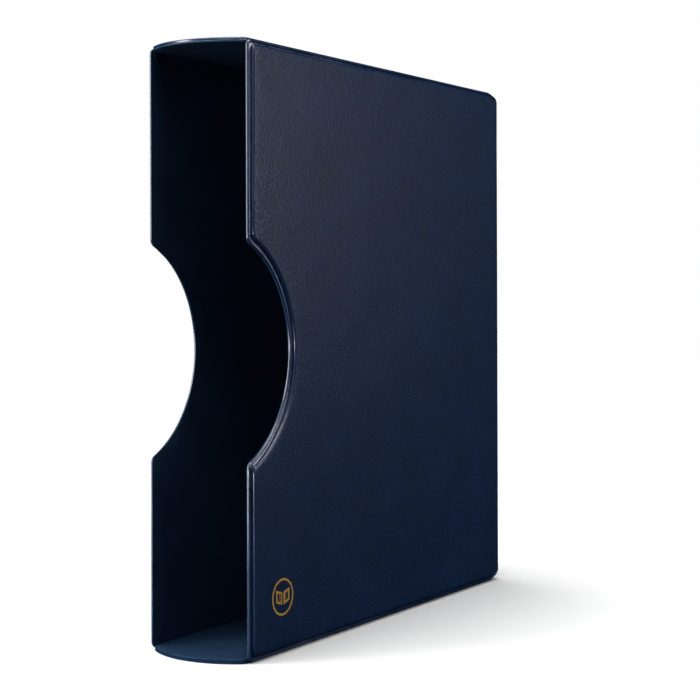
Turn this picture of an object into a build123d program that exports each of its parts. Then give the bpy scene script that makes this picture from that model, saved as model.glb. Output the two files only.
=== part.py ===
from build123d import *
import os

# Rigid slipcase for a ring binder or album: imitation leather welded over greyboard.
# Millimetres. +Z is up, the open front faces -Y, and +X is the right-hand side seen from the front.
# Origin: middle of the footprint, on the surface that the case stands on.

# ---------------------------------------------------------------- driving dimensions
height = 328.0  # over the top and bottom panels
depth = 300.0  # from the tips of the bowed front edges to the back
cavity_width = 63.0  # between the two side linings
front_bow = 11.0  # how far the top and bottom panels bow out past the side panels

# Materials
skin = 0.4  # vinyl sheet
board = 1.8  # greyboard
foam = 0.4  # foam sheet under the side covers

# Side panels
wrap_proud = 1.0  # the wrap stands this far out past the rims of the side panels
rim_corner = 3.2  # front corners
rim_front = 4.2  # from the front edge of a side panel to its board
rim_edge = 3.2  # the same, along the top, the bottom and the back
bead_width = 1.3
bead_height = 0.8  # above the flat of the weld
roll_wall = 0.8  # cover around the edge of the board
roll_radius = 1.2
board_corner = 2.5
slope_run = 9.0  # the rear corners fall away from here
slope_knee = (1.5, 2.2)
slope_drop = 4.5  # to here
slope_rounding = [3.0, 2.0, 2.0]  # at those three places

# Thumb cut-out: part of a circle whose centre lies ahead of the front edge
cut_radius = 62.7
cut_ahead = 24.0
cut_height = 162.5
cut_nib = 4.5  # rounding where the arc meets the front edge

# Welded hinges of the wrap at the two rear corners, measured in from the corner
hinge_run = 10.0  # the top and bottom panels end here
hinge_drop = 4.8  # the back panel ends here
weld_near_top = (8.9, 1.4)  # run and drop of the two ends of the sunken weld
weld_near_back = (1.3, 3.0)
hinge_rounding = [1.5, 1.0, 1.5, 1.5]  # at those four corners, from the top panel to the back panel
lining_run = 7.0
lining_drop = 3.27
lining_rounding = 1.0
board_gap = 0.25  # left between a board and the hinge

# Bowed front edges of the wrap
lip = 0.6  # cover around the edges of the top and bottom boards
lip_roll = 0.9
bow_corner = 5.0
weld_line = 0.4  # the lining stands out past the lip by this much

# Weld flanges
flange_thickness = 0.6
flange_reach = 7.0  # inwards from the wrap's lining
flange_corner = 6.0
flange_setback = 3.0  # behind the front edge of the side panels
flange_sunk = 0.3  # below the outer face of the wrap
flange_mitre = 0.15  # half the gap between two flanges at a rear corner

# Foil stamp on the right-hand cover
stamp_behind_front = 28.5  # middle of the stamp, from the front edge of the side panel
stamp_height = 31.0
stamp_radius = 10.0
stamp_line = 0.55
page_width = 5.6
page_height = 6.8
page_lift = 1.6
foil = 0.08

# ---------------------------------------------------------------- derived dimensions
tip_y = -depth / 2
back_y = depth / 2
side_front = tip_y + front_bow
side_back = back_y - wrap_proud
cut_y = side_front - cut_ahead
ahead_of_all = tip_y - front_bow  # clear of every piece, for cuts that run out of the front

lining_x = cavity_width / 2  # inner face of a side lining
weld_x = lining_x + skin  # between the lining and the cover
board_out_x = weld_x + board
face_x = board_out_x + foam + skin  # outer face of a side panel

wall = skin + board  # from the outer face of the wrap to its lining
wrap_wall = wall + skin
wrap_x = lining_x - flange_thickness  # half the width of the wrap, between its flanges

os.makedirs("parts", exist_ok=True)


def save(piece, label):
    """Names a finished piece and writes it to its own file."""
    piece.part.label = label
    export_step(piece.part, f"parts/{label}.step")


# ---------------------------------------------------------------- side panels
def side_profile(x, front_inset, edge_inset, corner):
    """Outline of a side panel at one X, drawn in from its rim: sloped rear corners and the thumb cut."""
    front = side_front + front_inset
    back = side_back - edge_inset
    low = wrap_proud + edge_inset
    high = height - low
    radius = cut_radius + front_inset
    half_chord = (radius**2 - (front - cut_y) ** 2) ** 0.5
    with BuildSketch(Plane.YZ.offset(x)) as profile:
        with BuildLine():
            FilletPolyline(
                (front, low),
                (back - slope_run, low),
                (back - slope_knee[0], low + slope_knee[1]),
                (back, low + slope_drop),
                (back, high - slope_drop),
                (back - slope_knee[0], high - slope_knee[1]),
                (back - slope_run, high),
                (front, high),
                radius=[corner, *slope_rounding, *reversed(slope_rounding), corner],
                close=True,
            )
        make_face()
        with Locations((cut_y, cut_height)):
            Circle(radius, mode=Mode.SUBTRACT)
        nibs = [
            profile.vertices().sort_by_distance((front, cut_height + side * half_chord, 0))[0]
            for side in (-1, 1)
        ]
        fillet(nibs, cut_nib)
    return profile.sketch


def book_stamp():
    """A generic ornament on the right-hand face: a thin ring around an open book."""
    middle_y = side_front + stamp_behind_front
    page_low = stamp_height - (page_height + page_lift) / 2
    with BuildSketch(Plane.YZ.offset(face_x)) as stamp:
        with Locations((middle_y, stamp_height)):
            Circle(stamp_radius)
            Circle(stamp_radius - stamp_line, mode=Mode.SUBTRACT)
        for side in (-1, 1):
            for inset, mode in ((0, Mode.ADD), (stamp_line, Mode.SUBTRACT)):
                spine = middle_y + side * (stamp_line / 2 + inset)
                edge = middle_y + side * (stamp_line / 2 + page_width - inset)
                low = page_low + inset
                high = page_low + page_height - inset
                with BuildLine():
                    Polyline(
                        (spine, low),
                        (edge, low + page_lift),
                        (edge, high + page_lift),
                        (spine, high),
                        close=True,
                    )
                make_face(mode=mode)
    return stamp.sketch


with BuildPart() as right_lining:
    extrude(side_profile(lining_x, 0, 0, rim_corner), amount=skin)

with BuildPart() as right_board:
    extrude(side_profile(weld_x, rim_front, rim_edge, board_corner), amount=board)

with BuildPart() as right_foam:
    extrude(side_profile(board_out_x, rim_front, rim_edge, board_corner), amount=foam)

# The cover is a flat weld rim with a bead along its edge, and a raised field drawn over the board.
with BuildPart() as plain_cover:
    extrude(side_profile(weld_x, 0, 0, rim_corner), amount=skin + bead_height)
    groove = side_profile(weld_x + skin, bead_width, bead_width, rim_corner - bead_width)
    extrude(groove, amount=bead_height, mode=Mode.SUBTRACT)
    field = side_profile(weld_x, rim_front - roll_wall, rim_edge - roll_wall, board_corner + roll_wall)
    extrude(field, amount=face_x - weld_x)
    fillet(plain_cover.faces().sort_by(Axis.X)[-1].edges(), roll_radius)
    pocket = side_profile(weld_x, rim_front, rim_edge, board_corner)
    extrude(pocket, amount=board + foam, mode=Mode.SUBTRACT)

with BuildPart() as right_cover:
    add(plain_cover.part)
    extrude(book_stamp(), amount=-foil, mode=Mode.SUBTRACT)

with BuildPart() as foil_stamp:
    extrude(book_stamp(), amount=-foil)

save(right_cover, "right_cover")
save(right_foam, "right_foam")
save(right_board, "right_board")
save(right_lining, "right_lining")
save(foil_stamp, "foil_stamp")

for right_piece, name in (
    (plain_cover, "left_cover"),
    (right_foam, "left_foam"),
    (right_board, "left_board"),
    (right_lining, "left_lining"),
):
    with BuildPart() as left_piece:
        mirror(right_piece.part, about=Plane.YZ)
    save(left_piece, name)


# ---------------------------------------------------------------- wrap: top, back and bottom
def wrap_plan(inset, tip, corner):
    """The wrap seen from above, drawn in from its edges, with its bowed front edge ending at tip."""
    half = wrap_x - inset
    shoulder = side_front + tip - tip_y
    with BuildSketch() as plan:
        with BuildLine():
            ThreePointArc((-half, shoulder), (0, tip), (half, shoulder))
            Polyline((half, shoulder), (half, back_y), (-half, back_y), (-half, shoulder))
        make_face()
        fillet(plan.vertices().group_by(Axis.Y)[0], corner)
    return plan.sketch


def wrap_section(x, inset, corner, rounding, shrink=0):
    """Side view of the wrap at one X, filled in. Corner points are run and drop from a rear corner."""
    bottom = [(back_y - run, drop) for run, drop in corner]
    top = [(back_y - run, height - drop) for run, drop in reversed(corner)]
    with BuildSketch(Plane.YZ.offset(x)) as section:
        with BuildLine():
            FilletPolyline(
                (ahead_of_all, inset),
                *bottom,
                *top,
                (ahead_of_all, height - inset),
                radius=[0, *rounding, *reversed(rounding), 0],
                close=True,
            )
        make_face()
        if shrink:
            offset(amount=-shrink, mode=Mode.REPLACE)
    return section


outer_corner = [(hinge_run, 0), weld_near_top, weld_near_back, (0, hinge_drop)]
inner_corner = [(lining_run, wall), (wall, lining_drop)]
inner_rounding = [lining_rounding, lining_rounding]
lip_tip = tip_y + weld_line

with BuildPart() as top_board:
    with BuildSketch(Plane.XY.offset(height - wall)):
        add(wrap_plan(lip, lip_tip + lip, bow_corner - lip))
        with Locations((0, back_y)):
            Rectangle(cavity_width, 2 * (hinge_run + board_gap), mode=Mode.SUBTRACT)
    extrude(amount=board)

with BuildPart() as bottom_board:
    mirror(top_board.part, about=Plane.XY.offset(height / 2))

with BuildPart() as back_board:
    with BuildSketch(Plane.XZ.offset(-(back_y - skin))):
        with Locations((0, height / 2)):
            Rectangle(2 * (wrap_x - lip), height - 2 * (hinge_drop + board_gap))
    extrude(amount=board)

with BuildPart() as wrap_cover:
    extrude(wrap_section(-wrap_x, 0, outer_corner, hinge_rounding).sketch, amount=2 * wrap_x)
    extrude(wrap_plan(0, lip_tip, bow_corner), amount=height, mode=Mode.INTERSECT)
    outline = wrap_cover.edges().filter_by_position(Axis.X, -wrap_x, wrap_x)
    bows = [e for e in outline if e.center().Y < side_front and e.geom_type == GeomType.CIRCLE]
    fillet(bows, lip_roll)
    inside = wrap_section(-lining_x, wall, inner_corner, inner_rounding)
    extrude(inside.sketch, amount=cavity_width, mode=Mode.SUBTRACT)
    for stiffener in (top_board, back_board, bottom_board):
        add(stiffener.part, mode=Mode.SUBTRACT)

with BuildPart() as wrap_lining:
    extrude(wrap_section(-wrap_x, wall, inner_corner, inner_rounding).sketch, amount=2 * wrap_x)
    extrude(wrap_plan(0, tip_y, bow_corner), amount=height, mode=Mode.INTERSECT)
    inside = wrap_section(-lining_x, wall, inner_corner, inner_rounding, shrink=skin)
    extrude(inside.sketch, amount=cavity_width, mode=Mode.SUBTRACT)

for piece, name in (
    (wrap_cover, "wrap_cover"),
    (wrap_lining, "wrap_lining"),
    (top_board, "top_board"),
    (back_board, "back_board"),
    (bottom_board, "bottom_board"),
):
    save(piece, name)


# ---------------------------------------------------------------- weld flanges
def flange_outline(x):
    """The margin of the wrap that is turned in on a side lining, all the way round, at one X."""
    inner_back = back_y - wrap_wall - flange_reach
    inner_low = wrap_wall + flange_reach
    front = side_front + flange_setback
    with BuildSketch(Plane.YZ.offset(x)) as outline:
        add(wrap_section(0, 0, outer_corner, hinge_rounding, shrink=flange_sunk).sketch_local)
        with Locations((inner_back, height / 2)):
            Rectangle(
                depth,
                height - 2 * inner_low,
                align=(Align.MAX, Align.CENTER),
                mode=Mode.SUBTRACT,
            )
        with Locations((front, height / 2)):
            Rectangle(depth, height, align=(Align.MAX, Align.CENTER), mode=Mode.SUBTRACT)
        front_corners = [
            outline.vertices().sort_by_distance((front, z, 0))[0] for z in (inner_low, height - inner_low)
        ]
        fillet(front_corners, flange_corner)
    return outline.sketch


def mitre(low_side, keep_panel):
    """Plane at 45 degrees through a rear corner, moved off it by half the gap between two flanges."""
    upward = -1 if low_side else 1
    corner = Vector(0, back_y, 0 if low_side else height)
    normal = Vector(0, -1, upward).normalized()
    shift = flange_mitre if keep_panel else -flange_mitre
    return Plane(origin=corner + normal * shift, z_dir=normal)


band = flange_outline(wrap_x)

with BuildPart() as right_top_flange:
    extrude(band, amount=flange_thickness)
    split(bisect_by=mitre(False, True), keep=Keep.TOP)
    split(bisect_by=Plane.XY.offset(height / 2), keep=Keep.TOP)

with BuildPart() as right_bottom_flange:
    extrude(band, amount=flange_thickness)
    split(bisect_by=mitre(True, True), keep=Keep.TOP)
    split(bisect_by=Plane.XY.offset(height / 2), keep=Keep.BOTTOM)

with BuildPart() as right_back_flange:
    extrude(band, amount=flange_thickness)
    split(bisect_by=mitre(False, False), keep=Keep.BOTTOM)
    split(bisect_by=mitre(True, False), keep=Keep.BOTTOM)

for flange, name in (
    (right_top_flange, "top_flange"),
    (right_back_flange, "back_flange"),
    (right_bottom_flange, "bottom_flange"),
):
    save(flange, f"right_{name}")
    with BuildPart() as left_flange:
        mirror(flange.part, about=Plane.YZ)
    save(left_flange, f"left_{name}")
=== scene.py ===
import math

import bpy
import bmesh
from bpy.props import FloatProperty, FloatVectorProperty, PointerProperty
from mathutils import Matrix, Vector


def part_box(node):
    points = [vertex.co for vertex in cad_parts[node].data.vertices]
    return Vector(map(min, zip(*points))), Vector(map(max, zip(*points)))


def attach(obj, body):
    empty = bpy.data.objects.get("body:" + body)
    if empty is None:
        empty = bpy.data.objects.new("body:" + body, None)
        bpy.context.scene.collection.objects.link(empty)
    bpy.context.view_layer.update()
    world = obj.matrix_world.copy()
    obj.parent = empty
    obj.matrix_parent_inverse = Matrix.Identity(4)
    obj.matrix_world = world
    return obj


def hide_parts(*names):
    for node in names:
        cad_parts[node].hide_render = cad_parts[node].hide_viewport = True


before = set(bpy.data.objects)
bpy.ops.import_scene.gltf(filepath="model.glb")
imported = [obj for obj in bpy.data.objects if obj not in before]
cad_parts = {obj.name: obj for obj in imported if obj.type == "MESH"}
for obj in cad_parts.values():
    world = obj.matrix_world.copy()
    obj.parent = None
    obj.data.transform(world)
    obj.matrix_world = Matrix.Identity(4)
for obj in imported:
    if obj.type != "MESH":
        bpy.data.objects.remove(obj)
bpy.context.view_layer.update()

bl_info = {
    "name": "Welded Slipcase",
    "version": (1, 0, 0),
    "blender": (4, 5, 0),
    "location": "View3D > Sidebar > Slipcase",
    "description": "Builds an upright open-fronted slipcase of welded vinyl over board",
    "category": "Add Mesh",
}

BODY = "root"
MM = 0.001
POINT = 0.0001  # a new piece starts as a dot this large, merged to one point
NEAR = 0.00002  # two places closer than this are the same place
WELD = NEAR / 4  # points closer than this are merged
FINISH = "_finish"  # ends the name of each finish, because the CAD slots have materials of their own

# ------------------------------------------------------------------ places read from the frame
COVER_LOW, COVER_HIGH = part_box("right_cover")
LINING_LOW, LINING_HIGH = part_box("right_lining")
BOARD_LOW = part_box("right_board")[0]
WRAP_LOW, WRAP_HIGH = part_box("wrap_cover")
WRAP_LINING_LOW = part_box("wrap_lining")[0]
FLANGE_LOW, FLANGE_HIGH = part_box("right_top_flange")
BACK_FLANGE_LOW, BACK_FLANGE_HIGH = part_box("right_back_flange")
STAMP_LOW, STAMP_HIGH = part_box("foil_stamp")

LINING_X = LINING_LOW.x  # inner face of a side lining
WELD_X = COVER_LOW.x  # where lining and cover meet
FACE_X = COVER_HIGH.x  # outer face of a side panel
SKIN = LINING_HIGH.x - LINING_LOW.x
FRONT_Y = COVER_LOW.y
REAR_Y = COVER_HIGH.y
RIM_FRONT = BOARD_LOW.y - COVER_LOW.y  # from the rim of a side panel to its board
RIM_EDGE = BOARD_LOW.z - COVER_LOW.z

WRAP_X = WRAP_HIGH.x
TIP_Y = WRAP_LINING_LOW.y  # foremost point of the bowed edges
LIP_Y = WRAP_LOW.y
BACK_Y = WRAP_HIGH.y
TOP_Z = WRAP_HIGH.z
MID_Z = (WRAP_HIGH.z + WRAP_LOW.z) / 2
WALL = WRAP_LINING_LOW.z - WRAP_LOW.z  # from the outer face of the wrap to its lining
BOW = FRONT_Y - TIP_Y

# ------------------------------------------------------------------ places the frame's boxes don't give
HINGE = ((10.0, 0.0), (8.9, 1.4), (1.3, 3.0), (0.0, 4.8))  # run and drop from a rear corner, mm
HINGE_WALL = ((0.0, 2.2), (0.0, 0.8), (0.9, 0.27), (2.2, 0.0))  # from there to the lining, mm
LINING_FOLD = ((7.0, 2.2), (2.2, 3.27))
LINING_WALL = ((0.04, 0.4), (0.4, 0.32), (0.4, 0.0))
HINGE_ROUND = (0.7, 0.5, 0.6, 0.8)
LINING_ROUND = (0.5, 0.7)
PANEL_SLOPE = ((9.0, 0.0), (1.5, 2.2), (0.0, 4.5))  # run and drop of a side panel's rear corner, mm
PANEL_ROUND = (0.42, 0.7, 0.6)
BEAD = ((0.0, 0.0), (0.09, -0.06), (0.14, 0.2), (0.24, 0.62), (0.42, 0.93), (0.6, 1.0), (0.78, 0.86),
        (0.92, 0.5), (1.0, 0.14), (1.12, 0.0))  # inset in bead widths, rise in bead heights
GROOVE = ((0.35, 0.0), (0.08, 0.12), (0.0, 0.4))  # back from the wall and up from the weld, mm
SWELL = ((2.0, 0.45), (5.0, 0.85), (9.0, 1.0))  # in from the roll in mm, share of the crown
ROLL_STEPS = 6
WELD_LINE = ((0.0, 1.45), (0.25, 1.66), (0.8, 1.76), (1.0, 1.88))  # share of its reach, depth in mm
LIP_STEPS = 5
POCKET = 0.6 * MM  # from the rim of the wrap's lining side to its board
SEAM_DEPTH = 1.95 * MM  # the wrap's front edge is grained cover from here inwards
LIP_DEPTH = 4 * MM  # faces this near the front belong to a front edge
FLANGE_CORNER = 5.4 * MM
FLANGE_LIP = 0.12 * MM  # plain edge, and then plain border, round the ribs
FLANGE_BORDER = 0.45 * MM
FLANGE_GAP = 0.11 * MM  # between two flanges at their mitre
FLANGE_MITRE = 2.95 * MM
FLANGE_BEND = ((1.55, 3.35), (0.0, 4.95))  # run and drop of the back flange's outer corner, mm
RIB_REACH = 12 * MM  # the ribs are cut through faces that come this near to the flange's far end
WAVE = 0.035  # size of the slow waves in covers


class SlipcaseSizes(bpy.types.PropertyGroup):
    """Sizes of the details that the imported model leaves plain."""

    cut_radius: FloatProperty(
        name="Thumb cut radius", description="Radius of the cut in each side panel",
        default=0.0627, unit="LENGTH")
    cut_ahead: FloatProperty(
        name="Thumb cut centre", description="How far its centre lies ahead of the front edge",
        default=0.024, unit="LENGTH")
    cut_height: FloatProperty(
        name="Thumb cut height", description="Height of its centre above the foot",
        default=0.1625, unit="LENGTH")
    cut_nib: FloatProperty(
        name="Thumb cut rounding", description="Rounding where the cut meets the front edge",
        default=0.0045, unit="LENGTH")
    rim_corner: FloatProperty(
        name="Rim corner", description="Radius of a side panel's front corners",
        default=0.0032, unit="LENGTH")
    board_corner: FloatProperty(
        name="Board corner", description="Radius of a side board's front corners",
        default=0.0025, unit="LENGTH")
    bead_width: FloatProperty(
        name="Bead width", description="Width of the bead along the rim of a side cover",
        default=0.0014, unit="LENGTH")
    bead_height: FloatProperty(
        name="Bead height", description="Height of that bead above the weld",
        default=0.0008, unit="LENGTH")
    roll_wall: FloatProperty(
        name="Roll wall", description="Thickness of the cover round the edge of its board",
        default=0.0008, unit="LENGTH")
    roll_radius: FloatProperty(
        name="Roll radius", description="Rounding of the padded edge of a side panel",
        default=0.0013, unit="LENGTH")
    crown: FloatProperty(
        name="Crown", description="How much the padded face swells above its edges",
        default=0.00012, unit="LENGTH")
    waviness: FloatProperty(
        name="Waviness", description="Unevenness of the faces and beads",
        default=0.00016, unit="LENGTH")
    lip_roll: FloatProperty(
        name="Lip roll", description="Rounding of the bowed front edges",
        default=0.0009, unit="LENGTH")
    side_roll: FloatProperty(
        name="Side roll", description="Rounding of the long edges of the wrap",
        default=0.0005, unit="LENGTH")
    bow_corner: FloatProperty(
        name="Bow corner", description="Rounding at the two ends of a bowed edge",
        default=0.005, unit="LENGTH")
    rib_pitch: FloatProperty(
        name="Rib pitch", description="Distance from one rib of a weld flange to the next",
        default=0.0016, unit="LENGTH")
    rib_depth: FloatProperty(
        name="Rib depth", description="Depth of the ribs", default=0.00018, unit="LENGTH")
    stamp_line: FloatProperty(
        name="Stamp line", description="Width of the lines of the foil stamp",
        default=0.0012, unit="LENGTH")
    floor: FloatProperty(
        name="Floor", description="Side of the floor that the case stands on",
        default=12.0, unit="LENGTH")


class SlipcaseColours(bpy.types.PropertyGroup):
    """Colours of the finishes."""

    cover: FloatVectorProperty(
        name="Cover", description="Grained vinyl outside", subtype="COLOR", size=3,
        default=(0.0100, 0.0310, 0.0960), min=0.0, max=1.0)
    lining: FloatVectorProperty(
        name="Lining", description="Smooth vinyl inside", subtype="COLOR", size=3,
        default=(0.0095, 0.0260, 0.0590), min=0.0, max=1.0)
    cut_edge: FloatVectorProperty(
        name="Cut edge", description="Vinyl where it is cut and welded", subtype="COLOR", size=3,
        default=(0.014, 0.050, 0.085), min=0.0, max=1.0)
    foil: FloatVectorProperty(
        name="Foil", description="Stamped foil", subtype="COLOR", size=3,
        default=(1.0, 0.56, 0.10), min=0.0, max=1.0)
    floor: FloatVectorProperty(
        name="Floor", description="Floor under the case", subtype="COLOR", size=3,
        default=(0.90, 0.90, 0.90), min=0.0, max=1.0)


# ------------------------------------------------------------------ working by hand, in code
def deselect():
    """Leaves edit mode with nothing selected."""
    if bpy.context.object and bpy.context.object.mode != "OBJECT":
        bpy.ops.object.mode_set(mode="OBJECT")
    bpy.ops.object.select_all(action="DESELECT")


def select_only(piece):
    deselect()
    piece.select_set(True)
    bpy.context.view_layer.objects.active = piece


def edit(piece):
    select_only(piece)
    bpy.ops.object.mode_set(mode="EDIT")


def dot(place):
    """Adds one selected point to the mesh being edited."""
    bpy.ops.mesh.select_mode(type="VERT")
    bpy.ops.mesh.select_all(action="DESELECT")
    bpy.ops.mesh.primitive_circle_add(vertices=3, radius=POINT, location=place)
    bpy.ops.mesh.merge(type="CENTER")


def start_piece(name):
    """A new empty mesh at the origin, in edit mode."""
    deselect()
    bpy.ops.mesh.primitive_plane_add(size=MM)
    piece = bpy.context.object
    piece.name = name
    piece.data.name = name
    bpy.ops.object.mode_set(mode="EDIT")
    bpy.ops.mesh.delete(type="VERT")
    bpy.ops.mesh.select_mode(type="VERT")
    return piece


def draw_on(places):
    """Extrudes the selected point from the first of these places through all the others."""
    for here, there in zip(places, places[1:]):
        bpy.ops.mesh.extrude_vertices_move(
            TRANSFORM_OT_translate={"value": Vector(there) - Vector(here)})


def draw_line(places):
    """Draws a line through these places, starting with a new point."""
    dot(places[0])
    draw_on(places)


def pick(verts=None, edges=None, faces=None):
    """Selects what passes the test among the vertices, edges or faces of the mesh being edited."""
    kind = "VERT" if verts else "EDGE" if edges else "FACE"
    bpy.ops.mesh.select_all(action="DESELECT")
    bpy.ops.mesh.select_mode(type=kind)
    mesh = bpy.context.object.data
    shape = bmesh.from_edit_mesh(mesh)
    items = {"VERT": shape.verts, "EDGE": shape.edges, "FACE": shape.faces}[kind]
    test = verts or edges or faces
    found = 0
    for item in items:
        if not item.hide and test(item):
            item.select_set(True)
            found += 1
    shape.select_flush_mode()
    bmesh.update_edit_mesh(mesh)
    return found


def at(place):
    """Test for the points at one place."""
    place = Vector(place)
    return lambda v: (v.co - place).length < NEAR


def round_points(places, reach, steps):
    """Rounds the corners of a wire at these places."""
    tests = [at(p) for p in places]
    pick(verts=lambda v: any(t(v) for t in tests))
    bpy.ops.mesh.bevel(offset=reach, segments=steps, affect="VERTICES")


def finish_mesh():
    """Merges doubles, turns every face outwards and leaves edit mode."""
    bpy.ops.mesh.select_mode(type="VERT")
    bpy.ops.mesh.select_all(action="SELECT")
    bpy.ops.mesh.remove_doubles(threshold=WELD)
    bpy.ops.mesh.normals_make_consistent(inside=False)
    bpy.ops.object.mode_set(mode="OBJECT")


def slice_face(test, place, normal):
    """Cuts the faces that pass the test along one plane."""
    pick(faces=test)
    bpy.ops.mesh.bisect(plane_co=place, plane_no=normal, threshold=WELD)


def mark_loop(mark):
    """Marks every point that has no mark yet, so that its loop can be found again."""
    mesh = bpy.context.object.data
    shape = bmesh.from_edit_mesh(mesh)
    layer = shape.verts.layers.int.get("loop") or shape.verts.layers.int.new("loop")
    for v in shape.verts:
        if v[layer] == 0:
            v[layer] = mark
    bmesh.update_edit_mesh(mesh)


def in_loop(mark):
    """Test for the edges of one marked loop."""
    layer = bmesh.from_edit_mesh(bpy.context.object.data).verts.layers.int["loop"]
    return lambda e: all(v[layer] == mark for v in e.verts)


def join_loops(mark_a, mark_b):
    """Joins two marked loops of the same number of points."""
    ring_a, ring_b = in_loop(mark_a), in_loop(mark_b)
    pick(edges=lambda e: ring_a(e) or ring_b(e))
    bpy.ops.mesh.bridge_edge_loops()


def fill_loop(mark):
    pick(edges=in_loop(mark))
    bpy.ops.mesh.edge_face_add()


def apply_modifiers(piece):
    select_only(piece)
    for modifier in list(piece.modifiers):
        bpy.ops.object.modifier_apply(modifier=modifier.name)


def make_wavy(piece, strength):
    """Unevenness of soft sheet over board: a smooth displacement along the normals."""
    waves = bpy.data.textures.get("waves")
    if waves is None:
        waves = bpy.data.textures.new("waves", "CLOUDS")
        waves.noise_scale = WAVE
        waves.noise_depth = 1
    wavy = piece.modifiers.new("Waves", "DISPLACE")
    wavy.texture = waves
    wavy.texture_coords = "LOCAL"
    wavy.strength = strength
    wavy.mid_level = 0.5
    apply_modifiers(piece)


def smooth(piece, angle=32.0):
    select_only(piece)
    bpy.ops.object.shade_smooth_by_angle(angle=math.radians(angle))


def mirrored_copy(piece, name, flip=(-1, 1, 1), middle=(0, 0, 0)):
    """A mirrored copy, by default on the other side, with its own mesh and its faces turned outwards."""
    select_only(piece)
    bpy.ops.object.duplicate(linked=False)
    copy = bpy.context.object
    copy.name = name
    copy.data.name = name
    bpy.ops.object.mode_set(mode="EDIT")
    bpy.ops.mesh.select_all(action="SELECT")
    bpy.ops.transform.resize(value=flip, center_override=middle)
    bpy.ops.mesh.flip_normals()
    bpy.ops.object.mode_set(mode="OBJECT")
    return copy


def place_piece(piece, finish, nodes):
    """Gives a finished piece its material, its body and the nodes it stands for."""
    for material in reversed(finish):
        if material.name not in piece.data.materials:
            piece.data.materials.append(material)
    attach(piece, BODY)
    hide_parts(*nodes)


# ------------------------------------------------------------------ finishes
class Nodes:
    """A short way to lay out the nodes of one material."""

    def __init__(self, name):
        self.material = bpy.data.materials.new(name + FINISH)
        self.material.use_nodes = True
        self.tree = self.material.node_tree
        self.shader = self.tree.nodes["Principled BSDF"]
        self.object = self.add("ShaderNodeTexCoord").outputs["Object"]

    def add(self, kind, links=None, **values):
        node = self.tree.nodes.new(kind)
        for key, value in values.items():
            if key in node.bl_rna.properties:
                setattr(node, key, value)
            else:
                node.inputs[key.replace("_", " ").title()].default_value = value
        for socket, source in (links or {}).items():
            self.tree.links.new(source, node.inputs[socket])
        return node

    def noise(self, scale, detail, rough):
        node = self.add("ShaderNodeTexNoise", {"Vector": self.object},
                        scale=scale, detail=detail, roughness=rough)
        return node.outputs["Fac"]

    def stretch(self, source, low, high, to_low, to_high):
        node = self.add("ShaderNodeMapRange", {"Value": source},
                        from_min=low, from_max=high, to_min=to_low, to_max=to_high)
        return node.outputs["Result"]

    def math(self, how, a, b):
        node = self.add("ShaderNodeMath", operation=how)
        for socket, value in ((0, a), (1, b)):
            if isinstance(value, (int, float)):
                node.inputs[socket].default_value = value
            else:
                self.tree.links.new(value, node.inputs[socket])
        return node.outputs[0]

    def blend(self, amount, a, b):
        """From colour a to colour b. A mix node names its sockets alike, so they are counted."""
        node = self.add("ShaderNodeMix", data_type="RGBA")
        self.tree.links.new(amount, node.inputs["Factor"])
        node.inputs[6].default_value = (*a, 1)
        node.inputs[7].default_value = (*b, 1)
        return node.outputs[2]

    def bump(self, height, strength, distance, under=None):
        node = self.add("ShaderNodeBump", {"Height": height}, strength=strength, distance=distance)
        if under:
            self.tree.links.new(under, node.inputs["Normal"])
        return node.outputs["Normal"]

    def shade_by(self, source, low, high, dark, light):
        """The colour from dark to light, as the source goes from low to high."""
        return self.blend(self.stretch(source, low, high, 0.0, 1.0), dark, light)

    def wire(self, **sockets):
        """Links or sets the shader's own sockets."""
        for name, source in sockets.items():
            socket = self.shader.inputs[name.replace("_", " ").title().replace("Ior", "IOR")]
            if hasattr(source, "links"):
                self.tree.links.new(source, socket)
            else:
                socket.default_value = source


def shade(colour, factor):
    """The colour made darker or lighter."""
    return tuple(c * factor for c in colour)


def grained_vinyl(name, colour):
    """Imitation leather: fine pebbles with creases between them, satin."""
    n = Nodes(name)
    drift = n.add("ShaderNodeVectorMath", {0: n.object}, operation="ADD")
    warp = n.add("ShaderNodeTexNoise", {"Vector": n.object}, scale=420.0)
    scaled = n.add("ShaderNodeVectorMath", {0: warp.outputs["Color"]}, operation="SCALE", scale=0.0011)
    n.tree.links.new(scaled.outputs[0], drift.inputs[1])
    pebbles = n.add("ShaderNodeTexVoronoi", {"Vector": drift.outputs[0]},
                    feature="SMOOTH_F1", scale=720.0, smoothness=0.35)
    creases = n.stretch(pebbles.outputs["Distance"], 0.05, 0.75, 1.0, 0.0)
    fine = n.noise(2600.0, 2.0, 0.6)
    patches = n.noise(38.0, 3.0, 0.55)
    grain = n.bump(creases, 0.8, 0.00009)
    grain = n.bump(fine, 0.35, 0.00002, grain)
    grain = n.bump(patches, 0.15, 0.0010, grain)
    tone = n.math("ADD", n.math("MULTIPLY", creases, 0.7), n.math("MULTIPLY", patches, 0.5))
    n.wire(
        base_color=n.shade_by(tone, 0.35, 0.95, shade(colour, 0.6), shade(colour, 1.3)),
        roughness=n.stretch(n.math("ADD", creases, fine), 0.55, 1.35, 0.46, 0.24),
        normal=grain,
        specular_ior_level=0.22,
    )


def smooth_vinyl(name, colour, roughness, gloss):
    """Smooth sheet: a faint press texture and slow changes of gloss."""
    n = Nodes(name)
    press = n.noise(1500.0, 2.0, 0.6)
    patches = n.noise(30.0, 3.0, 0.5)
    soft = n.bump(press, 0.25, 0.00002)
    soft = n.bump(patches, 0.25, 0.0016, soft)
    n.wire(
        base_color=n.shade_by(patches, 0.3, 0.7, shade(colour, 0.85), shade(colour, 1.15)),
        roughness=n.stretch(patches, 0.3, 0.7, roughness - 0.05, roughness + 0.07),
        normal=soft,
        specular_ior_level=gloss,
    )


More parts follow.
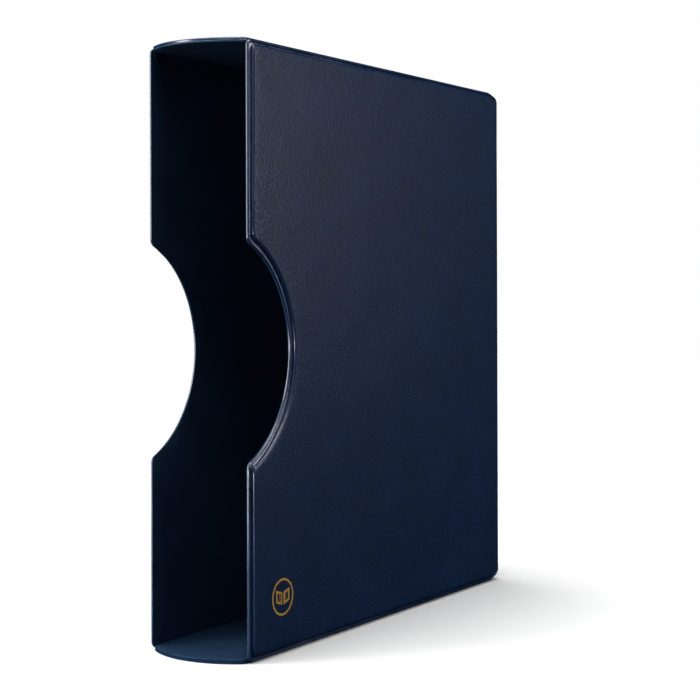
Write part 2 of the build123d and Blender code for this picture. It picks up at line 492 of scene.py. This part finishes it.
def cut_vinyl(name, colour):
    """The cut edge: matte, with the drag marks of the cutter."""
    n = Nodes(name)
    drag = n.noise(900.0, 3.0, 0.65)
    patches = n.noise(120.0, 2.0, 0.5)
    n.wire(
        base_color=n.shade_by(patches, 0.35, 0.65, shade(colour, 0.6), shade(colour, 1.3)),
        roughness=n.stretch(drag, 0.3, 0.7, 0.6, 0.75),
        normal=n.bump(drag, 0.4, 0.00004),
        specular_ior_level=0.1,
    )


def stamped_foil(name, colour):
    """Hot-stamped foil: half metallic, broken up a little by the grain below."""
    n = Nodes(name)
    grain = n.noise(1500.0, 2.0, 0.6)
    patches = n.noise(300.0, 2.0, 0.5)
    n.wire(
        base_color=n.shade_by(patches, 0.35, 0.65, shade(colour, 0.82), shade(colour, 1.1)),
        metallic=0.55,
        roughness=n.stretch(grain, 0.3, 0.7, 0.30, 0.5),
        normal=n.bump(grain, 0.5, 0.00003),
    )


def pasteboard(name):
    """Greyboard: grey fibres with darker flecks."""
    n = Nodes(name)
    fibres = n.noise(700.0, 4.0, 0.7)
    flecks = n.noise(2400.0, 1.0, 0.5)
    n.wire(
        base_color=n.shade_by(fibres, 0.35, 0.65, (0.25, 0.235, 0.21), (0.42, 0.40, 0.365)),
        roughness=n.stretch(flecks, 0.3, 0.7, 0.82, 0.95),
        normal=n.bump(fibres, 0.5, 0.00008),
    )


def open_foam(name):
    """Thin polyether foam: off-white with open cells."""
    n = Nodes(name)
    cells = n.add("ShaderNodeTexVoronoi", {"Vector": n.object}, scale=2200.0).outputs["Distance"]
    n.wire(
        base_color=n.shade_by(cells, 0.1, 0.7, (0.45, 0.44, 0.40), (0.78, 0.77, 0.72)),
        roughness=n.stretch(cells, 0.0, 1.0, 0.85, 0.97),
        normal=n.bump(cells, 0.6, 0.0001),
    )


def pale_floor(name, colour):
    """A plain matte floor."""
    n = Nodes(name)
    dust = n.noise(30.0, 2.0, 0.5)
    n.wire(
        base_color=n.blend(dust, shade(colour, 0.995), colour),
        roughness=n.stretch(dust, 0.3, 0.7, 0.8, 0.86),
        specular_ior_level=0.2,
    )


def finishes():
    """Every material, made once and found again by name."""
    colours = bpy.context.scene.slipcase_colours
    if "grained_vinyl" + FINISH not in bpy.data.materials:
        grained_vinyl("grained_vinyl", colours.cover)
        smooth_vinyl("welded_vinyl", colours.cover, 0.22, 1.0)
        smooth_vinyl("lining_vinyl", colours.lining, 0.58, 0.12)
        smooth_vinyl("ribbed_vinyl", shade(colours.lining, 0.85), 0.45, 0.12)
        cut_vinyl("cut_vinyl", colours.cut_edge)
        stamped_foil("gold_foil", colours.foil)
        pasteboard("greyboard")
        open_foam("foam")
        pale_floor("pale_floor", colours.floor)
    return {m.name[:-len(FINISH)]: m for m in bpy.data.materials if m.name.endswith(FINISH)}


# ------------------------------------------------------------------ outlines
def draw_panel_loop(mark, x, front_inset, edge_inset, corner):
    """Draws the outline of a side panel at one X as a closed loop, drawn in from its rim."""
    s = bpy.context.scene.slipcase_sizes
    front = FRONT_Y + front_inset
    back = REAR_Y - edge_inset
    low = COVER_LOW.z + edge_inset
    high = COVER_HIGH.z - edge_inset
    cut_y = FRONT_Y - s.cut_ahead
    radius = s.cut_radius + front_inset
    swing = math.acos((front - cut_y) / radius)
    chord = radius * math.sin(swing)
    nib_low = (x, front, s.cut_height - chord)
    nib_high = (x, front, s.cut_height + chord)

    dot(nib_low)
    bpy.ops.mesh.spin(
        steps=56, angle=-2 * swing, center=(x, cut_y, s.cut_height), axis=(1, 0, 0))
    upper = [(x, back - run * MM, high - drop * MM) for run, drop in PANEL_SLOPE]
    lower = [(x, back - run * MM, low + drop * MM) for run, drop in PANEL_SLOPE]
    corners = [nib_high, (x, front, high), *upper, *reversed(lower), (x, front, low)]
    draw_on(corners)
    mark_loop(mark)
    ends = (at(corners[-1]), at(nib_low))
    pick(verts=lambda v: ends[0](v) or ends[1](v))
    bpy.ops.mesh.edge_face_add()
    round_points([corners[1], corners[-1]], corner, 7)
    for above, below, reach in zip(upper, lower, PANEL_ROUND):
        round_points([above, below], reach * MM, 3)
    round_points([nib_low, nib_high], s.cut_nib * math.tan(swing / 2), 7)
    mark_loop(mark)
    for length, cuts in ((0.2, 63), (0.06, 23)):
        pick(edges=lambda e: e.calc_length() > length and in_loop(mark)(e))
        bpy.ops.mesh.subdivide(number_cuts=cuts)
        mark_loop(mark)


def grid_face(x, pitch):
    """Cuts the flat face at one X into a grid, so that it can undulate."""
    def face(f):
        return abs(f.calc_center_median().x - x) < NEAR and abs(f.normal.x) > 0.9

    y = FRONT_Y + pitch
    while y < REAR_Y:
        slice_face(face, (x, y, 0), (0, 1, 0))
        y += pitch
    z = COVER_LOW.z + pitch
    while z < COVER_HIGH.z:
        slice_face(face, (x, 0, z), (0, 0, 1))
        z += pitch


def panel_from_rings(name, rings):
    """Draws each ring, joins it to the one before and closes both ends."""
    piece = start_piece(name)
    for mark, ring in enumerate(rings, 1):
        draw_panel_loop(mark, *ring)
        if mark > 1:
            join_loops(mark - 1, mark)
    fill_loop(1)
    fill_loop(len(rings))
    finish_mesh()
    return piece


def paint(piece, slot_index, test):
    """Gives the faces that pass the test another of the piece's materials."""
    edit(piece)
    if pick(faces=test):
        piece.active_material_index = slot_index
        bpy.ops.object.material_slot_assign()
    bpy.ops.object.mode_set(mode="OBJECT")


# ------------------------------------------------------------------ side panels
def side_cover_rings():
    """Rings of a side cover, from its board out over the rim and the groove to the padded face."""
    s = bpy.context.scene.slipcase_sizes
    bead, rise = s.bead_width, s.bead_height
    flat = WELD_X + SKIN
    wall_front, wall_edge = RIM_FRONT - s.roll_wall, RIM_EDGE - s.roll_wall
    corner, board = s.rim_corner, s.board_corner
    field = board + s.roll_wall
    roll = s.roll_radius
    top = FACE_X - s.crown
    rings = [
        (FACE_X - SKIN, RIM_FRONT, RIM_EDGE, board),
        (WELD_X, RIM_FRONT, RIM_EDGE, board),
        (WELD_X, 0, 0, corner),
    ]
    for inset, height in BEAD:
        rings.append((flat + rise * height, bead * inset, bead * inset, corner - bead * inset))
    for back, height in GROOVE:
        rings.append((flat + height * MM, wall_front - back * MM, wall_edge - back * MM,
                      field + back * MM))
    for k in range(ROLL_STEPS + 1):
        turn = math.pi / 2 * k / ROLL_STEPS
        inset = roll * (1 - math.cos(turn))
        rings.append((top - roll * (1 - math.sin(turn)), wall_front + inset, wall_edge + inset,
                      field - inset * 0.5))
    for reach, swell in SWELL:
        rings.append((top + s.crown * swell, wall_front + roll + reach * MM,
                      wall_edge + roll + reach * MM, field - roll * 0.5))
    return rings


class SLIPCASE_OT_side_covers(bpy.types.Operator):
    """Makes both side covers: beaded weld rim, groove, and padded face with a rolled edge"""

    bl_idname = "slipcase.side_covers"
    bl_label = "Side Covers"

    def execute(self, context):
        s = context.scene.slipcase_sizes
        made = finishes()
        welded = FACE_X - s.crown - 0.12 * MM
        right = panel_from_rings("right_side_cover", side_cover_rings())
        edit(right)
        grid_face(FACE_X, 9 * MM)
        finish_mesh()
        left = mirrored_copy(right, "left_side_cover")
        for piece, node in ((right, "right_cover"), (left, "left_cover")):
            make_wavy(piece, s.waviness)
            smooth(piece)
            place_piece(piece,
                        [made["welded_vinyl"], made["grained_vinyl"]], [node])
            paint(piece, 1, lambda f: abs(f.calc_center_median().x) < welded)
        return {"FINISHED"}


class SLIPCASE_OT_side_linings(bpy.types.Operator):
    """Makes both side linings: flat sheets that share the rim of their covers"""

    bl_idname = "slipcase.side_linings"
    bl_label = "Side Linings"

    def execute(self, context):
        made = finishes()
        corner = context.scene.slipcase_sizes.rim_corner
        rings = [(WELD_X, 0, 0, corner), (LINING_X + 0.12 * MM, 0, 0, corner),
                 (LINING_X + 0.03 * MM, 0.04 * MM, 0.04 * MM, corner),
                 (LINING_X, 0.14 * MM, 0.14 * MM, corner)]
        right = panel_from_rings("right_side_lining", rings)
        edit(right)
        grid_face(LINING_X, 12 * MM)
        finish_mesh()
        left = mirrored_copy(right, "left_side_lining")
        for piece, node in ((right, "right_lining"), (left, "left_lining")):
            smooth(piece)
            place_piece(piece, [made["cut_vinyl"], made["lining_vinyl"]], [node])
            paint(piece, 1, lambda f: abs(f.normal.x) < 0.5)
        return {"FINISHED"}


# ------------------------------------------------------------------ wrap
def draw_bow_line(mark, z, side_inset, tip, rear):
    """Draws the open outline of a bowed panel at one height, from its right rear end to its left."""
    s = bpy.context.scene.slipcase_sizes
    half = WRAP_X - side_inset
    radius = (half**2 + BOW**2) / (2 * BOW)
    shoulder = tip + BOW
    swing = math.asin(half / radius)
    dot((half, rear, z))
    draw_on([(0, rear, 0), (0, shoulder, 0)])
    bpy.ops.mesh.spin(steps=24, angle=2 * swing, center=(0, tip + radius, z), axis=(0, 0, 1))
    draw_on([(0, shoulder, 0), (0, rear, 0)])
    mark_loop(mark)
    corner = max(s.bow_corner - side_inset, 0.0012)
    round_points([(half, shoulder, z), (-half, shoulder, z)], corner * 0.474, 6)
    mark_loop(mark)


def panel_from_bows(name, rows, tip, rear):
    """Draws each bow line, joins it to the one before and closes both ends."""
    piece = start_piece(name)
    for mark, (front, side, depth) in enumerate(rows, 1):
        draw_bow_line(mark, TOP_Z - depth, side, tip + front, rear)
        if mark > 1:
            join_loops(mark - 1, mark)
    fill_loop(1)
    fill_loop(len(rows))
    return piece


def rounded_path(corners, walls, cut):
    """The points of a path with rounded corners, each with the way across the wall there."""
    path = []
    for i, (corner, wall) in enumerate(zip(corners, walls)):
        if i == 0:
            before = Vector((corner[0] + 5, corner[1]))
        else:
            before = Vector(corners[i - 1])
        if i + 1 < len(corners):
            after = Vector(corners[i + 1])
        else:
            after = Vector((corner[0], corner[1] + 5))
        here = Vector(corner)
        a = here + (before - here).normalized() * cut[i]
        b = here + (after - here).normalized() * cut[i]
        for t in (0.0, 0.25, 0.5, 0.75, 1.0):
            place = a * (1 - t) ** 2 + here * 2 * t * (1 - t) + b * t**2
            path.append((place * MM, Vector(wall) * MM))
    return path


def sweep_down(mark, rear, depth, path):
    """Extrudes the rear end of a panel along the path over the corner and down to mid-height."""
    pick(edges=lambda e: all(abs(v.co.y - rear) < NEAR for v in e.verts))
    place, wall = Vector((BACK_Y - rear, 0)), Vector((0, depth))
    end = path[-1]
    for there, way in [*path, (Vector((end[0].x, MID_Z)), end[1])]:
        step = there - place
        bpy.ops.mesh.extrude_edges_move(
            TRANSFORM_OT_translate={"value": (0, -step.x, -step.y)})
        pivot = (0, BACK_Y - there.x, TOP_Z - there.y)
        turn = math.atan2(way.x, way.y) - math.atan2(wall.x, wall.y)
        if abs(turn) > 1e-5:
            bpy.ops.transform.rotate(value=turn, orient_axis="X", center_override=pivot)
        size = way.length / wall.length
        if abs(size - 1) > 1e-5:
            bpy.ops.transform.resize(value=(1, size, size), center_override=pivot)
        place, wall = there, way


def close_halves():
    """Adds the mirror image below mid-height."""
    bpy.ops.mesh.select_all(action="SELECT")
    bpy.ops.mesh.duplicate()
    bpy.ops.transform.resize(value=(1, 1, -1), center_override=(0, 0, MID_Z))


def grid_wrap(pitch, spread):
    """Cuts the whole wrap lengthwise and across, so that it can undulate."""
    for k in (-2, -1, 0, 1, 2):
        slice_face(lambda f: True, (k * spread, 0, 0), (1, 0, 0))
    y = FRONT_Y
    while y < BACK_Y - HINGE[0][0] * MM - pitch / 2:
        slice_face(lambda f: True, (0, y, 0), (0, 1, 0))
        y += pitch
    rows, margin = 14, 0.03
    for k in range(1, rows):
        z = TOP_Z * (margin + (1 - 2 * margin) * k / rows)
        slice_face(lambda f: True, (0, 0, z), (0, 0, 1))


class SLIPCASE_OT_wrap_cover(bpy.types.Operator):
    """Makes the wrap's outer cover: bowed lips with a weld line, and sunken hinges at the rear"""

    bl_idname = "slipcase.wrap_cover"
    bl_label = "Wrap Cover"

    def execute(self, context):
        s = context.scene.slipcase_sizes
        made = finishes()
        rear = BACK_Y - (HINGE[0][0] + 1.0) * MM
        rows = []
        for k in range(LIP_STEPS + 1):
            turn = math.pi / 2 * k / LIP_STEPS
            rows.append((s.lip_roll * (1 - math.sin(turn)), s.side_roll * (1 - math.sin(turn)),
                         s.lip_roll * (1 - math.cos(turn))))
        weld = LIP_Y - TIP_Y
        rows += [(-share * weld, 0, depth * MM) for share, depth in WELD_LINE]
        rows += [(-weld, 0, WALL), (POCKET, POCKET, WALL), (POCKET, POCKET, SKIN)]
        piece = panel_from_bows("wrap_outer_cover", rows, LIP_Y, rear)
        sweep_down(1, rear, WALL, rounded_path(HINGE, HINGE_WALL, HINGE_ROUND))
        close_halves()
        grid_wrap(10 * MM, 10 * MM)
        finish_mesh()
        make_wavy(piece, s.waviness)
        smooth(piece)
        place_piece(piece,
                    [made["cut_vinyl"], made["welded_vinyl"], made["grained_vinyl"]], ["wrap_cover"])

        def lip(f):
            return f.calc_center_median().y < FRONT_Y + LIP_DEPTH

        def seam(f):
            height = f.calc_center_median().z
            return lip(f) and min(height, TOP_Z - height) > SEAM_DEPTH

        paint(piece, 1, lambda f: f.normal.y < -0.2 and lip(f))
        paint(piece, 2, seam)
        return {"FINISHED"}


class SLIPCASE_OT_wrap_lining(bpy.types.Operator):
    """Makes the wrap's lining: one smooth sheet over the ceiling, the back and the floor of the bay"""

    bl_idname = "slipcase.wrap_lining"
    bl_label = "Wrap Lining"

    def execute(self, context):
        made = finishes()
        rear = BACK_Y - (LINING_FOLD[0][0] + 1.0) * MM
        rows = [(0, 0, WALL), (0, 0, WALL + 0.3 * MM), (0.04 * MM, 0, WALL + 0.37 * MM),
                (0.15 * MM, 0, WALL + SKIN)]
        piece = panel_from_bows("wrap_inner_lining", rows, TIP_Y, rear)
        down = (LINING_FOLD[1][0], LINING_FOLD[1][1] + 1.5)
        path = rounded_path(LINING_FOLD, LINING_WALL[:2], LINING_ROUND)
        path.append((Vector(down) * MM, Vector(LINING_WALL[2]) * MM))
        sweep_down(1, rear, SKIN, path)
        close_halves()
        grid_wrap(10 * MM, 10 * MM)
        finish_mesh()
        smooth(piece)
        place_piece(piece, [made["cut_vinyl"], made["lining_vinyl"]], ["wrap_lining"])
        paint(piece, 1,
              lambda f: f.normal.y < -0.3 and f.calc_center_median().y < FRONT_Y + LIP_DEPTH)
        return {"FINISHED"}


# ------------------------------------------------------------------ weld flanges
def flange(name, outline, round_places, along, low, high):
    """A welded margin: a flat sheet with its inner face pressed into fine ribs inside a border."""
    s = bpy.context.scene.slipcase_sizes
    piece = start_piece(name)
    inner = WRAP_X
    outer = LINING_X
    draw_line([(outer, y, z) for y, z in outline])
    pick(verts=lambda v: True)
    bpy.ops.mesh.edge_face_add()
    if round_places:
        round_points([(outer, y, z) for y, z in round_places], FLANGE_CORNER, 9)
    pick(faces=lambda f: True)
    bpy.ops.mesh.extrude_region_move(
        TRANSFORM_OT_translate={"value": (inner - outer, 0, 0)})

    def front(f):
        return abs(f.calc_center_median().x - inner) < 0.05 * MM and abs(f.normal.x) > 0.8

    pick(faces=front)
    bpy.ops.mesh.inset(thickness=FLANGE_LIP, depth=0)
    pick(faces=lambda f: front(f) and len(f.verts) > 4)
    bpy.ops.mesh.inset(thickness=FLANGE_BORDER, depth=0)
    half = s.rib_pitch / 2
    count = int((high - low) / half)
    direction = (0, 1, 0) if along == 1 else (0, 0, 1)
    for k in range(1, count):
        place = low + k * half

        def crossed(f):
            ends = [v.co[along] for v in f.verts]
            return front(f) and min(ends) < place < max(ends) and max(ends) > high - RIB_REACH

        bpy.ops.mesh.select_mode(type="FACE")
        slice_face(crossed, (inner, place, 0) if along == 1 else (inner, 0, place), direction)

    def on_ridge(v):
        step = (v.co[along] - low) / half
        flat = all(abs(f.normal.x) > 0.8 for f in v.link_faces)
        odd = round(step) % 2 == 1 and abs(step - round(step)) < 0.02
        return odd and flat and abs(v.co.x - inner) < NEAR

    pick(verts=on_ridge)
    bpy.ops.transform.translate(value=(s.rib_depth, 0, 0))
    finish_mesh()
    return piece


def flange_outlines():
    """Outlines of the top and the back flange in Y and Z, with a mitre between them."""
    low, high = FLANGE_LOW.z, FLANGE_HIGH.z
    front = FLANGE_LOW.y
    sunk = TOP_Z - high
    gap, meet = FLANGE_GAP, FLANGE_MITRE

    def corner(run, drop):
        return (BACK_Y - run * MM - sunk * 0.3, TOP_Z - drop * MM - sunk)

    inner_run = TOP_Z - low
    top = [(front, low), (front, high), corner(*HINGE[0]), corner(*HINGE[1]),
           (BACK_Y - meet - gap, TOP_Z - meet), (BACK_Y - inner_run - gap, low)]
    bend, end = FLANGE_BEND
    up = [(BACK_FLANGE_LOW.y, low - gap), (BACK_Y - meet, TOP_Z - meet - gap),
          (BACK_Y - bend[0] * MM, TOP_Z - bend[1] * MM), (BACK_FLANGE_HIGH.y, TOP_Z - end[1] * MM)]
    down = [(y, 2 * MID_Z - z) for y, z in reversed(up)]
    return top, up + down


class SLIPCASE_OT_flanges(bpy.types.Operator):
    """Makes the six ribbed weld flanges that hold the wrap to the side panels"""

    bl_idname = "slipcase.flanges"
    bl_label = "Weld Flanges"

    def execute(self, context):
        made = finishes()
        top_outline, back_outline = flange_outlines()
        front, low = top_outline[0]
        top = flange("right_top_weld_flange", top_outline, [(front, low)], 1,
                     front, max(y for y, z in top_outline))
        back = flange("right_back_weld_flange", back_outline, [], 2,
                      min(z for y, z in back_outline), max(z for y, z in back_outline))
        bottom = mirrored_copy(top, "right_bottom_weld_flange", (1, 1, -1), (0, 0, MID_Z))
        for piece, place in ((top, "top"), (back, "back"), (bottom, "bottom")):
            other = mirrored_copy(piece, f"left_{place}_weld_flange")
            for each, node in ((piece, f"right_{place}_flange"), (other, f"left_{place}_flange")):
                smooth(each, 12.0)
                place_piece(each, [made["ribbed_vinyl"]], [node])
        return {"FINISHED"}


# ------------------------------------------------------------------ foil stamp
PAGE_WIDTH, PAGE_HEIGHT, PAGE_LIFT = 5.6 * MM, 6.8 * MM, 1.6 * MM
TEXT_ROWS = (0.30, 0.50, 0.70)  # heights of the lines of text, as shares of a page
TEXT_START, TEXT_END = 1.5, 2.4  # margins of those lines from the spine and the edge, in stamp lines
TEXT_SLOPE = 0.62  # share of the page's lift
TEXT_WEIGHT = 0.55  # thickness of those lines, in stamp lines
STAMP_PROUD = 0.04 * MM  # thickness of the foil
STAMP_SUNK = 0.05 * MM  # how far below the highest wave of the face it starts
STAMP_BEVEL = 0.015 * MM


def patch_of_foil(x, corners):
    """Draws a four-sided face at one X through corners in Y and Z."""
    places = [Vector((x, y, z)) for y, z in corners]
    bpy.ops.mesh.select_mode(type="VERT")
    draw_line(places)
    pick(verts=lambda v: any(at(p)(v) for p in places))
    bpy.ops.mesh.edge_face_add()


def keep_border(width):
    """Leaves only a border of this width of the selected face."""
    bpy.ops.mesh.select_mode(type="FACE")
    bpy.ops.mesh.inset(thickness=width, depth=0)
    bpy.ops.mesh.delete(type="FACE")


class SLIPCASE_OT_stamp(bpy.types.Operator):
    """Makes the foil stamp: an open book inside a thin ring"""

    bl_idname = "slipcase.stamp"
    bl_label = "Foil Stamp"

    def execute(self, context):
        s = context.scene.slipcase_sizes
        made = finishes()
        middle = (STAMP_LOW + STAMP_HIGH) / 2
        line = s.stamp_line
        base = FACE_X + 0.5 * s.waviness - STAMP_SUNK
        piece = start_piece("open_book_stamp")
        bpy.ops.mesh.primitive_circle_add(
            vertices=96, radius=(STAMP_HIGH.y - STAMP_LOW.y) / 2, fill_type="NGON",
            location=(base, middle.y, middle.z), rotation=(0, math.pi / 2, 0))
        keep_border(line)
        foot = middle.z - (PAGE_HEIGHT + PAGE_LIFT) / 2
        for side in (-1, 1):
            spine = middle.y + side * line / 2
            edge = spine + side * PAGE_WIDTH
            patch_of_foil(base, [
                (spine, foot), (edge, foot + PAGE_LIFT), (edge, foot + PAGE_HEIGHT + PAGE_LIFT),
                (spine, foot + PAGE_HEIGHT)])
            keep_border(line)
            for row in TEXT_ROWS:
                rise = foot + row * PAGE_HEIGHT
                a = (spine + side * TEXT_START * line, rise)
                b = (edge - side * TEXT_END * line, rise + PAGE_LIFT * TEXT_SLOPE)
                weight = line * TEXT_WEIGHT
                patch_of_foil(base, [a, b, (b[0], b[1] + weight), (a[0], a[1] + weight)])
        pick(faces=lambda f: True)
        bpy.ops.mesh.extrude_region_move(TRANSFORM_OT_translate={"value": (STAMP_PROUD, 0, 0)})
        finish_mesh()
        softened = piece.modifiers.new("Soft edges", "BEVEL")
        softened.width = STAMP_BEVEL
        softened.segments = 1
        softened.limit_method = "ANGLE"
        apply_modifiers(piece)
        smooth(piece)
        place_piece(piece, [made["gold_foil"]], ["foil_stamp"])
        return {"FINISHED"}


# ------------------------------------------------------------------ boards and foam
class SLIPCASE_OT_boards(bpy.types.Operator):
    """Gives the boards and the foam sheets, which stay as packed, their finishes"""

    bl_idname = "slipcase.boards"
    bl_label = "Boards and Foam"

    def execute(self, context):
        made = finishes()
        names = {"greyboard": ("right_board", "left_board", "top_board", "back_board", "bottom_board"),
                 "foam": ("right_foam", "left_foam")}
        for finish, nodes in names.items():
            for node in nodes:
                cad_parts[node].data.materials.clear()
                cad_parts[node].data.materials.append(made[finish])
        return {"FINISHED"}


# ------------------------------------------------------------------ stage
def soft_light(name, place, aim, width, height, power):
    """A rectangular soft box that faces a point."""
    bpy.ops.object.light_add(type="AREA", location=place)
    lamp = bpy.context.object
    lamp.name = name
    lamp.data.shape = "RECTANGLE"
    lamp.data.size = width
    lamp.data.size_y = height
    lamp.data.energy = power
    lamp.visible_camera = False
    lamp.rotation_euler = (Vector(aim) - Vector(place)).to_track_quat("-Z", "Y").to_euler()


def soft_sun(name, azimuth, elevation, spread, strength):
    """A distant light with soft shadows, its azimuth counted from the front towards the right."""
    bpy.ops.object.light_add(type="SUN")
    lamp = bpy.context.object
    lamp.name = name
    lamp.data.energy = strength
    lamp.data.angle = math.radians(spread)
    across, up = math.radians(azimuth), math.radians(elevation)
    source = Vector((math.sin(across) * math.cos(up), -math.cos(across) * math.cos(up), math.sin(up)))
    lamp.rotation_euler = source.to_track_quat("Z", "Y").to_euler()


class SLIPCASE_OT_stage(bpy.types.Operator):
    """Sets the camera, the pale floor and the soft studio light"""

    bl_idname = "slipcase.stage"
    bl_label = "Stage"

    def execute(self, context):
        s = context.scene.slipcase_sizes
        made = finishes()
        deselect()
        bpy.ops.object.camera_add(
            location=(0.5132, -0.8061, 0.1950),
            rotation=(math.pi / 2, math.radians(0.177), math.radians(32.052)))
        camera = context.object
        camera.name = "studio_camera"
        camera.data.lens = 80.9
        camera.data.sensor_width = 36.0
        camera.data.shift_y = -0.0846
        camera.data.clip_start = 0.01
        camera.data.clip_end = 100.0
        context.scene.camera = camera

        deselect()
        bpy.ops.mesh.primitive_plane_add(size=s.floor, location=(0, 0, 0))
        floor = context.object
        floor.name = "studio_floor"
        floor.data.materials.append(made["pale_floor"])

        soft_sun("left_sun", azimuth=-75, elevation=62, spread=60, strength=1.05)
        soft_sun("high_sun", azimuth=-40, elevation=82, spread=50, strength=2.85)
        soft_light("front_left_box", (-0.95, -1.15, 0.45), (0, 0, 0.17), 0.5, 1.3, 17.0)
        soft_light("sheen_box", (0.998, 0.752, 0.52), (0, 0, 0.25), 0.3, 0.8, 4.4)
        soft_light("side_strip", (1.245, 0.109, 0.75), (0, 0, 0.25), 0.3, 0.8, 2.4)
        soft_light("front_right_box", (0.40, -1.50, 0.75), (0, 0, 0.2), 0.5, 0.7, 1.2)
        soft_light("right_high_box", (0.45, -0.35, 0.65), (0.03, -0.1, 0.3), 0.4, 0.4, 0.6)
        soft_light("low_front_card", (-0.1, -1.0, 0.06), (0, 0, 0.3), 0.8, 0.1, 4.5)

        world = bpy.data.worlds.new("studio")
        world.use_nodes = True
        background = world.node_tree.nodes["Background"].inputs
        background["Color"].default_value = (1, 1, 1, 1)
        background["Strength"].default_value = 1.0
        world.cycles_visibility.diffuse = False
        world.cycles_visibility.glossy = False
        floor.visible_glossy = False
        floor.visible_diffuse = False
        context.scene.world = world
        context.scene.view_settings.view_transform = "Standard"
        return {"FINISHED"}


class SLIPCASE_PT_panel(bpy.types.Panel):
    """Lists the pieces of the slipcase in the sidebar"""

    bl_label = "Slipcase"
    bl_idname = "SLIPCASE_PT_panel"
    bl_space_type = "VIEW_3D"
    bl_region_type = "UI"
    bl_category = "Slipcase"

    def draw(self, context):
        for operator in OPERATORS:
            self.layout.operator(operator.bl_idname, text=operator.bl_label)


OPERATORS = (
    SLIPCASE_OT_side_covers,
    SLIPCASE_OT_side_linings,
    SLIPCASE_OT_wrap_cover,
    SLIPCASE_OT_wrap_lining,
    SLIPCASE_OT_flanges,
    SLIPCASE_OT_stamp,
    SLIPCASE_OT_boards,
    SLIPCASE_OT_stage,
)
CLASSES = (SlipcaseSizes, SlipcaseColours, *OPERATORS, SLIPCASE_PT_panel)


def register():
    for each in CLASSES:
        bpy.utils.register_class(each)
    bpy.types.Scene.slipcase_sizes = PointerProperty(type=SlipcaseSizes)
    bpy.types.Scene.slipcase_colours = PointerProperty(type=SlipcaseColours)


def unregister():
    del bpy.types.Scene.slipcase_sizes
    del bpy.types.Scene.slipcase_colours
    for each in reversed(CLASSES):
        bpy.utils.unregister_class(each)


def main():
    register()
    for operator in OPERATORS:
        section, name = operator.bl_idname.split(".")
        getattr(getattr(bpy.ops, section), name)()
    deselect()


if __name__ == "__main__":
    main()
